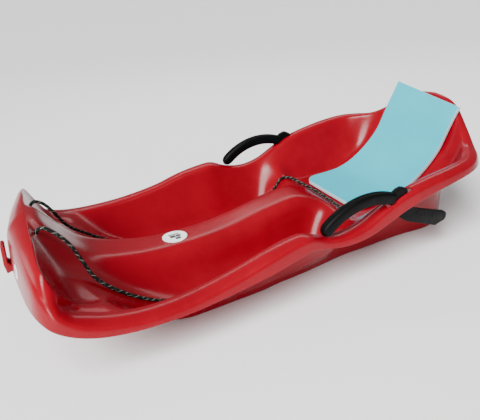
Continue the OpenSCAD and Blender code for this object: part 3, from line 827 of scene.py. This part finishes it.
# Route of the rope from the knot in the left hole, down the left foot well, across in
# front of the pad and back: distance behind the nose, y and z.
ROPE_ROUTE = (
    (36, 56, 182), (52, 57, 193), (64, 61, 200), (79, 67, 191), (97, 76, 168), (109, 86, 139),
    (119, 98, 112), (135, 108, 92), (160, 113, 69), (190, 116, 47), (225, 117, 28), (270, 117, 18),
    (400, 117, 14), (540, 117, 17), (565, 117, 32), (589, 116, 63), (607, 112, 83), (625, 99, 86),
    (638, 70, 81), (644, 25, 78), (648, -35, 76), (643, -85, 77), (630, -111, 84), (609, -119, 84),
    (589, -119, 63), (565, -118, 32), (540, -118, 17), (400, -118, 14), (270, -117, 18),
    (225, -115, 28), (190, -112, 48), (160, -106, 71), (135, -96, 95), (116, -83, 116),
    (102, -71, 139), (90, -62, 168), (77, -60, 190), (63, -59, 199), (52, -57, 193), (36, -56, 182))
BRAID_PITCH = 0.021    # metres of rope for one turn of a yarn
BRAID_YARNS = 6        # yarns that run each way round


def rope_line(form):
    """Even points along the rope, in millimetres."""
    fine = [Vector(form.place(catmull(ROPE_ROUTE, k / 40)))
            for k in range(40 * (len(ROPE_ROUTE) - 1) + 1)]
    step = bpy.context.scene.sledge_rope.step / MM
    run = sum((b - a).length for a, b in zip(fine, fine[1:]))
    gap = run / round(run / step)
    line, left = [fine[0]], gap
    for a, b in zip(fine, fine[1:]):
        size = (b - a).length
        while size >= left:
            a = a.lerp(b, left / size)
            size = (b - a).length
            line.append(a.copy())
            left = gap
        left -= size
    return line, run


def sweep(name, line, radius, sides, relief=None, closed=False):
    """Tube along a line of vectors, with an own map: metres along it and turns round it."""
    n = len(line)
    spot = (lambda k: line[k % n]) if closed else (lambda k: line[max(0, min(n - 1, k))])
    ways = [(spot(k + 1) - spot(k - 1)).normalized() for k in range(n)]
    side = ways[0].cross(Vector((0, 0, 1))).normalized()
    points, maps, run = [], [], 0.0
    for k in range(n):
        side = (side - ways[k] * side.dot(ways[k])).normalized()
        other = ways[k].cross(side)
        for q in range(sides):
            a = 2 * math.pi * q / sides
            r = radius - (relief(run * MM, q / sides) if relief else 0)
            points.append(line[k] + r * (side * math.cos(a) + other * math.sin(a)))
        maps.append(run * MM)
        run += (spot(k + 1) - line[k]).length
    faces, uvs = grid_faces(n, sides, loop=closed), []
    maps.append(run * MM)
    for here, there in zip(maps[:n if closed else n - 1], maps[1:]):
        for q in range(sides):
            low, high = q / sides, (q + 1) / sides
            uvs += [(here, low), (here, high), (there, high), (there, low)]
    if not closed:
        for k, order in ((0, range(sides - 1, -1, -1)), (n - 1, range(sides))):
            faces.append([k * sides + q for q in order])
            uvs += [(maps[k], q / sides) for q in order]
    mesh = bpy.data.meshes.new(name)
    mesh.from_pydata([p * MM for p in points], [], faces)
    layer = mesh.uv_layers.new(name="braid")
    for loop, uv in zip(layer.data, uvs):
        loop.uv = uv
    return mesh


def braid_relief(along, turn):
    """Hollows between the crossing yarns, in millimetres."""
    def groove(phase):
        return abs(math.sin(math.pi * BRAID_YARNS * phase))
    right, left = groove(along / BRAID_PITCH + turn), groove(along / BRAID_PITCH - turn)
    return 0.32 * (1 - max(right, left) ** 0.5)


class SLEDGE_OT_rope(bpy.types.Operator):
    """Makes the braided tow rope and the knots that hold its ends under the nose"""
    bl_idname = "sledge.rope"
    bl_label = "Tow rope"

    def execute(self, context):
        sizes = context.scene.sledge_rope
        form = hull()
        braid = braided_rope(sizes)
        for name, end in (("left", ROPE_ROUTE[0]), ("right", ROPE_ROUTE[-1])):
            knot = add_object("knot_" + name, self.knot(form, end, sizes))
            shade(knot, braid, 60)
            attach(knot, BODY)
            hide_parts("rope_knot_" + name)
        line, run = rope_line(form)
        radius = sizes.thick / MM / 2
        rope = add_object("rope", sweep("rope", line, radius, 28, braid_relief))
        shade(rope, braid, 60)
        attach(rope, BODY)
        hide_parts("tow_rope")
        [c * MM for c in line[0]]
        run * MM
        [p * MM for p in line[::4] + line[-1:]]
        return {"FINISHED"}

    def knot(self, form, end, sizes):
        """An overhand knot drawn tight: a closed trefoil of the same braid."""
        tube = 2.5
        size = (sizes.knot / MM / 2 - tube) / 3
        centre = Vector(form.place(end))
        line = []
        for k in range(96):
            a = 2 * math.pi * k / 96
            line.append(centre + size * Vector((
                1.4 * math.sin(3 * a),
                math.sin(a) + 2 * math.sin(2 * a),
                math.cos(a) - 2 * math.cos(2 * a))))
        return sweep("knot", line, tube, 20, closed=True)


class SLEDGE_OT_shell(bpy.types.Operator):
    """Makes the moulding with its hook, its slots for the levers and its rope holes"""
    bl_idname = "sledge.shell"
    bl_label = "Shell"

    def execute(self, context):
        sizes = context.scene.sledge_shell
        form = hull()
        shell = add_object("moulding", shell_grid(form))
        soften = shell.modifiers.new("Smooth", "SUBSURF")
        soften.levels = soften.render_levels = 1
        settle(shell)
        (back, ahead), (low, high), half = SLOT_ENDS, SLOT_HEIGHTS, SLOT_WIDTH / 2
        slot = [(back, low), (ahead, low), (ahead, high), (back, high)]
        for side in (-1, 1):
            place = PIVOT["left" if side > 0 else "right"]
            cut(shell, add_object("slot", slab_mesh("slot", slot, -half, half, place)))
            cut(shell, self.bore(form, side))
        pieces = [shell, hook_piece(form)]
        for side in (-1, 1):
            pieces += ear_pieces(form, side)
        shell = join_meshes("moulding", pieces)
        shade(shell, glossy_moulding(sizes), 40)
        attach(shell, BODY)
        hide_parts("shell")
        return {"FINISHED"}

    def bore(self, form, side):
        """Cutter for a rope hole, which slopes up and back through the crest of the nose."""
        mesh = bpy.data.meshes.new("bore")
        work = bmesh.new()
        bmesh.ops.create_cone(work, cap_ends=True, segments=40, radius1=HOLE_RADIUS * MM,
                              radius2=HOLE_RADIUS * MM, depth=24 * MM)
        work.to_mesh(mesh)
        work.free()
        behind, beside = HOLE_PLACE
        centre = Vector(form.place((behind, side * beside, form.nose - HOLE_DROP))) * MM
        tilt = Matrix.Rotation(math.radians(HOLE_TILT), 4, "Y")
        mesh.transform(Matrix.Translation(centre) @ tilt)
        return add_object("bore", mesh)


def rib_tree(material):
    """Geometry nodes: rounded hoops set along an arc, for the ribs of a grip."""
    tree = bpy.data.node_groups.new("grip_ribs", "GeometryNodeTree")
    face = tree.interface
    face.new_socket("Geometry", in_out="INPUT", socket_type="NodeSocketGeometry")
    for name, kind in (("Count", "Int"), ("Arc Radius", "Float"), ("Start Angle", "Float"),
                       ("End Angle", "Float"), ("Width", "Float"), ("Depth", "Float"),
                       ("Corner", "Float"), ("Rib", "Float")):
        face.new_socket(name, in_out="INPUT", socket_type="NodeSocket" + kind)
    face.new_socket("Geometry", in_out="OUTPUT", socket_type="NodeSocketGeometry")
    net = Net(tree)
    given = net.node("NodeGroupInput")
    index = net.node("GeometryNodeInputIndex")
    angle = given.out("Start Angle") + (given.out("End Angle") - given.out("Start Angle")) * (
        index / (given.out("Count") - 1.0))
    radius = given.out("Arc Radius")
    spot = net.node("ShaderNodeCombineXYZ", {}, {0: radius * angle.cos(), 2: radius * angle.sin()})
    row = net.node("GeometryNodeMeshLine", {"mode": "OFFSET"}, {"Count": given.out("Count")})
    row = net.node("GeometryNodeSetPosition", {}, {"Geometry": row, "Position": spot})
    box = net.node("GeometryNodeCurvePrimitiveQuadrilateral", {"mode": "RECTANGLE"}, {
        "Width": given.out("Depth"), "Height": given.out("Width")})
    hoop = net.node("GeometryNodeFilletCurve", {"mode": "POLY"}, {
        "Curve": box, "Count": 6, "Radius": given.out("Corner")})
    wire = net.node("GeometryNodeCurvePrimitiveCircle", {"mode": "RADIUS"}, {
        "Resolution": 8, "Radius": given.out("Rib")})
    ring = net.node("GeometryNodeCurveToMesh", {}, {"Curve": hoop, "Profile Curve": wire})
    lean = net.node("ShaderNodeCombineXYZ", {}, {0: math.pi / 2, 1: 0.0, 2: 0.0})
    turn = net.node("ShaderNodeCombineXYZ", {}, {1: angle * -1.0})
    first = net.node("FunctionNodeEulerToRotation", {}, {0: lean})
    second = net.node("FunctionNodeEulerToRotation", {}, {0: turn})
    stand = net.node("FunctionNodeRotateRotation", {"rotation_space": "GLOBAL"}, {
        "Rotation": first, "Rotate By": second})
    ribs = net.node("GeometryNodeInstanceOnPoints", {}, {
        "Points": row, "Instance": ring, "Rotation": stand})
    solid = net.node("GeometryNodeRealizeInstances", {}, {"Geometry": ribs})
    done = net.node("GeometryNodeSetMaterial", {}, {"Geometry": solid, "Material": material})
    net.node("NodeGroupOutput", {}, {0: done})
    return tree


def set_input(mod, name, value):
    socket = next(item for item in mod.node_group.interface.items_tree
                  if item.name == name and item.in_out == "INPUT")
    mod[socket.identifier] = value


def squared(c):
    """Sine or cosine pushed out, so that a circle turns into a rounded rectangle."""
    return math.copysign(abs(c) ** 0.6, c)


class SLEDGE_OT_levers(bpy.types.Operator):
    """Makes the two hand brakes, each with an arched ribbed grip, a hub and a claw"""
    bl_idname = "sledge.levers"
    bl_label = "Brake levers"

    def execute(self, context):
        sizes = context.scene.sledge_lever
        form = hull()
        nylon = grained_nylon(sizes)
        mm = in_mm(sizes, "reach", "claw", "drop", "claw_depth", "plate", "grip_w", "grip_d",
                   "rise", "hub")
        tree = rib_tree(nylon)
        for side in ("left", "right"):
            pieces = self.grip(form, mm, side) + [self.plate(mm, side)]
            pieces.append(self.ribs(tree, sizes, side))
            lever = join_meshes("lever_" + side, pieces)
            shade(lever, nylon, 40)
            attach(lever, "lever_" + side)
            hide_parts("brake_lever_" + side)
        return {"FINISHED"}

    def grip(self, form, mm, side):
        """Arched bar of a rounded section, thinner at its ends."""
        z = PIVOT[side][2]
        tip_r = mm["grip_w"] / 2 - 0.5
        tip_top = form.rim(form.pivot - mm["reach"], 2) + form.bulge + 0.5 + tip_r
        tip = Vector((mm["reach"], tip_top - z))
        top = form.rim(form.pivot - 33, 2) + form.bulge + 0.2 - z
        heel = Vector((26, max(10, top + mm["grip_d"] / 2)))
        chord = (tip - heel).length
        radius = chord ** 2 / (8 * mm["rise"]) + mm["rise"] / 2
        way = (tip - heel) / chord
        centre = (tip + heel) / 2 + Vector((way.y, -way.x)) * (radius - mm["rise"])
        angles = [math.atan2(p.y - centre.y, p.x - centre.x) for p in (tip, heel)]
        self.arc = centre, radius, angles
        steps, sides = 72, 40
        beyond = 9.0 / radius
        points = []
        for k in range(steps + 1):
            t = k / steps
            a = mix(angles[0] - beyond, angles[1] + 0.6 * beyond, t)
            end = min(1.0, t * steps / 7)
            thin = math.sqrt(max(0.0, 1 - (1 - end) ** 2)) if t < 0.2 else 1.0
            for q in range(sides):
                b = 2 * math.pi * q / sides
                dx = mm["grip_d"] / 2 * squared(math.cos(b)) * max(thin, 0.12)
                dy = mm["grip_w"] / 2 * squared(math.sin(b)) * max(thin, 0.12)
                r = radius + dx
                points.append((PIVOT[side][0] + centre.x + r * math.cos(a), PIVOT[side][1] + dy,
                               z + centre.y + r * math.sin(a)))
        faces = grid_faces(steps + 1, sides)
        faces += [list(range(sides)), list(range(steps * sides, (steps + 1) * sides))[::-1]]
        return [add_object("grip", mesh_from("grip", points, faces))]

    def plate(self, mm, side):
        """Web under the grip, hub and claw, cut from one thick plate with rounded edges."""
        r = mm["claw_depth"] / 2
        tip = (r - mm["claw"], -mm["drop"])
        outline = [(12, 25), (22, 19), (40, 25), (46, 16), (44, 10), (30, 3), (13, -3)]
        outline += arc(0, 0, mm["hub"], -25, -58, 5)
        outline += [(3, -24), (0, -34), (-7, -42), (-18, -50), (tip[0] + 16, tip[1] - r - 4)]
        outline += arc(tip[0], tip[1], r, -80, -260, 14)
        outline += [(-60, -36), (-42, -29), (-30, -23), (-20, -12)]
        outline += [(-13, -2), (-13, 13), (-11, 21), (-5, 24.5), (2, 27)]
        half = mm["plate"] / 2
        pieces = [rounded_slab("plate", outline, -half, half, PIVOT[side], 1.3, 3, 25)]
        for x, z, height in ((-40, -38, 6), (-62, -46, 6), (-84, -55, 6)):
            pieces.append(self.stud(side, x, z, height, half))
        return join_meshes("plate", pieces)

    def stud(self, side, x, z, height, half):
        """Low rib across the claw's face."""
        bar = [(-1.2, -height), (1.2, -height), (1.2, height), (-1.2, height)]
        place = (PIVOT[side][0] + x, PIVOT[side][1], PIVOT[side][2] + z)
        return rounded_slab("stud", bar, -half - 0.5, half + 0.5, place, 0.5, 2)

    def ribs(self, tree, sizes, side):
        centre, radius, angles = self.arc
        piece = add_object("ribs", bpy.data.meshes.new("ribs"))
        mod = piece.modifiers.new("Ribs", "NODES")
        mod.node_group = tree
        margin = 6.0 / radius
        for name, value in (
                ("Count", sizes.ribs), ("Arc Radius", radius * MM),
                ("Start Angle", angles[0] + margin), ("End Angle", angles[1] - margin),
                ("Width", sizes.grip_w), ("Depth", sizes.grip_d),
                ("Corner", sizes.grip_w * 0.36), ("Rib", sizes.rib)):
            set_input(mod, name, value)
        settle(piece)
        piece.data.transform(Matrix.Translation(Vector((
            PIVOT[side][0] + centre.x, PIVOT[side][1], PIVOT[side][2] + centre.y)) * MM))
        return piece


class SLEDGE_OT_pins(bpy.types.Operator):
    """Finishes the pivot pins of the levers"""
    bl_idname = "sledge.pins"
    bl_label = "Pivot pins"

    def execute(self, context):
        steel = zinc_steel()
        for side in ("left", "right"):
            finish_node("pivot_pin_" + side, steel)
        return {"FINISHED"}


def finish_node(name, material):
    node = frame["nodes"][name]
    node.data.materials.clear()
    node.data.materials.append(material)


class SLEDGE_OT_pad(bpy.types.Operator):
    """Makes the foam pad that lies on the seat and up the backrest"""
    bl_idname = "sledge.pad"
    bl_label = "Seat pad"

    def execute(self, context):
        sizes = context.scene.sledge_pad
        form = hull()
        pad = add_object("pad", self.sheet(form, sizes))
        shade(pad, closed_cell_foam(sizes), 50)
        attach(pad, BODY)
        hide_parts("seat_pad")
        return {"FINISHED"}

    def line(self, form):
        """Underside of the pad from its front edge to the crest of the backrest."""
        seat, tail, h = form.seat, form.tail, form.hull
        rows = [
            (0.682, seat), (0.700, seat - 0.3), (0.760, seat + 0.5), (0.790, seat + 3.8),
            (0.820, seat + 13), (0.848, seat + 27.5), (0.875, seat + 46.4),
            (0.897, mix(seat, tail, 0.352)), (0.9163, mix(seat, tail, 0.475)),
            (0.9327, mix(seat, tail, 0.640)), (0.949, mix(seat, tail, 0.797)),
            (0.9633, mix(seat, tail, 0.925)), (0.9755, mix(seat, tail, 1.040))]
        lifted = [(f * h, z + 1) for f, z in rows]
        fine = [catmull(lifted, k / 20) for k in range(20 * (len(rows) - 1) + 1)]
        return [Vector((form.middle - u, z)) for u, z in fine]

    def sheet(self, form, sizes):
        line = self.line(form)
        runs = [0.0]
        for a, b in zip(line, line[1:]):
            runs.append(runs[-1] + (b - a).length)
        full = runs[-1]
        wide, thick, corner, skew = in_mm(sizes, "width", "thick", "corner", "skew").values()
        round_edge = 1.6

        def at(run):
            k = max(j for j in range(len(runs) - 1) if runs[j] <= max(0.0, min(run, full - 1e-6)))
            t = (run - runs[k]) / (runs[k + 1] - runs[k])
            way = (line[min(k + 2, len(line) - 1)] - line[max(0, k - 1)]).normalized()
            return line[k].lerp(line[k + 1], t), Vector((way.y, -way.x))

        def half_width(run):
            if run >= corner:
                return wide / 2
            return wide / 2 - corner + math.sqrt(max(0.0, corner ** 2 - (corner - run) ** 2))

        near = [0, 0.25, 0.6, 1.0, 1.6]
        rows = near + [3, 5, 8, 12, 17, 23] + [
            mix(30, full - 6, k / 44) for k in range(45)] + [full - d for d in (3, *reversed(near))]
        columns = sorted({-1, 1} | {s * (1 - d / (wide / 2)) for s in (-1, 1) for d in (*near, 3)}
                         | {k / 16 for k in range(-15, 16)})
        points, cuts = [], []
        for top in (1, 0):
            for run in rows:
                half = half_width(run)
                for c in columns:
                    y = c * half
                    # The left side stops short of the right one.
                    short = skew * (y + wide / 2) / wide
                    place = run * (full - short) / full
                    d = min(half * (1 - abs(c)), run, full - run)
                    drop = 0.0
                    if d < round_edge:
                        rest = max(0.0, round_edge ** 2 - (round_edge - d) ** 2)
                        drop = round_edge - math.sqrt(rest)
                    height = thick - drop if top else drop
                    spot, up = at(place)
                    spot = spot + up * height
                    points.append((spot.x, y + sizes.shift / MM, spot.y))
                    cuts.append(1.0 if d < 0.5 else 0.0)
        n, m = len(rows), len(columns)
        faces = grid_faces(n, m, ring=False) + grid_faces(n, m, n * m, ring=False)
        border = (list(range(m)) + [j * m + m - 1 for j in range(1, n)]
                  + [(n - 1) * m + k for k in range(m - 2, -1, -1)]
                  + [j * m for j in range(n - 2, 0, -1)])
        for a, b in zip(border, border[1:] + border[:1]):
            faces.append([a, b, n * m + b, n * m + a])
        mesh = bpy.data.meshes.new("pad")
        mesh.from_pydata([[c * MM for c in p] for p in points], [], faces)
        cut_layer = mesh.attributes.new("cut", "FLOAT", "POINT")
        cut_layer.data.foreach_set("value", cuts)
        turn_outwards(mesh)
        return mesh


class SLEDGE_OT_labels(bpy.types.Operator):
    """Prints the label on the hump and the two on the nose"""
    bl_idname = "sledge.labels"
    bl_label = "Labels"

    def execute(self, context):
        for node, axes, half in (("hump_label", (0, 1), 0.025), ("nose_label_left", (1, 2), 0.012),
                                 ("nose_label_right", (1, 2), 0.012)):
            copy = add_object(node + "_print", frame["nodes"][node].data.copy())
            turn_outwards(copy.data)
            shade(copy, printed_label(node + "_vinyl", node, *axes, half), 40)
            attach(copy, BODY)
            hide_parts(node)
        return {"FINISHED"}


class SLEDGE_OT_stage(bpy.types.Operator):
    """Makes the pale floor and the soft studio light"""
    bl_idname = "sledge.stage"
    bl_label = "Stage"

    def execute(self, context):
        settings = context.scene.sledge_stage
        mesh = bpy.data.meshes.new("floor")
        corners = [(x * FLOOR_REACH, y * FLOOR_REACH, 0)
                   for x, y in ((-1, -1), (1, -1), (1, 1), (-1, 1))]
        mesh.from_pydata(corners, [], [(0, 1, 2, 3)])
        floor = add_object("floor", mesh)
        floor.data.materials.append(pale_floor(settings))
        world = bpy.data.worlds.new("studio")
        world.use_nodes = True
        sky = world.node_tree.nodes["Background"]
        sky.inputs["Color"].default_value = (1, 1, 1, 1)
        sky.inputs["Strength"].default_value = 0.25
        context.scene.world = world
        sun = bpy.data.lights.new("sky", "SUN")
        sun.energy, sun.angle = 6.0, 0.6
        lamp = add_object("sky", sun)
        lamp.rotation_euler = Vector((0.9, 0.5, 1.0)).to_track_quat("Z", "Y").to_euler()
        self.light("key", (0.9, 0.7, 2.0), (0.0, 0.0, 0.05), (1.0, 0.5), 22)
        self.light("back", (-0.8, -1.4, 1.5), (0.0, 0.0, 0.1), (2.2, 0.3), 11)
        self.light("front", (1.5, 1.6, 0.5), (0.35, 0.1, 0.1), (0.7, 0.7), 22)
        return {"FINISHED"}

    def light(self, name, place, target, size, power):
        data = bpy.data.lights.new(name, "AREA")
        data.shape, data.size, data.size_y, data.energy = "RECTANGLE", size[0], size[1], power
        lamp = add_object(name, data)
        lamp.location = place
        lamp.rotation_euler = (Vector(target) - Vector(place)).to_track_quat("-Z", "Y").to_euler()


class SLEDGE_PT_build(bpy.types.Panel):
    """Lists the steps that build the sledge"""
    bl_idname = "SLEDGE_PT_build"
    bl_label = "Bob sledge"
    bl_space_type = "VIEW_3D"
    bl_region_type = "UI"
    bl_category = "Sledge"

    def draw(self, context):
        for step in STEPS:
            self.layout.operator(step.bl_idname)
        for name, group in GROUPS.items():
            box = self.layout.box()
            box.label(text=group.__doc__)
            for key in group.__annotations__:
                box.prop(getattr(context.scene, name), key)


STEPS = (SLEDGE_OT_camera, SLEDGE_OT_rope, SLEDGE_OT_shell, SLEDGE_OT_levers, SLEDGE_OT_pins,
         SLEDGE_OT_pad, SLEDGE_OT_labels, SLEDGE_OT_stage)
GROUPS = {"sledge_shell": ShellSizes, "sledge_lever": LeverSizes, "sledge_rope": RopeSizes,
          "sledge_pad": PadSizes, "sledge_stage": StageSettings}


def register():
    for cls in (*GROUPS.values(), *STEPS, SLEDGE_PT_build):
        bpy.utils.register_class(cls)
    for name, group in GROUPS.items():
        setattr(bpy.types.Scene, name, bpy.props.PointerProperty(type=group))


def unregister():
    for name in GROUPS:
        delattr(bpy.types.Scene, name)
    for cls in reversed((*GROUPS.values(), *STEPS, SLEDGE_PT_build)):
        bpy.utils.unregister_class(cls)


def main():
    register()
    for step in STEPS:
        group, name = step.bl_idname.split(".")
        getattr(getattr(bpy.ops, group), name)()


if __name__ == "__main__":
    main()
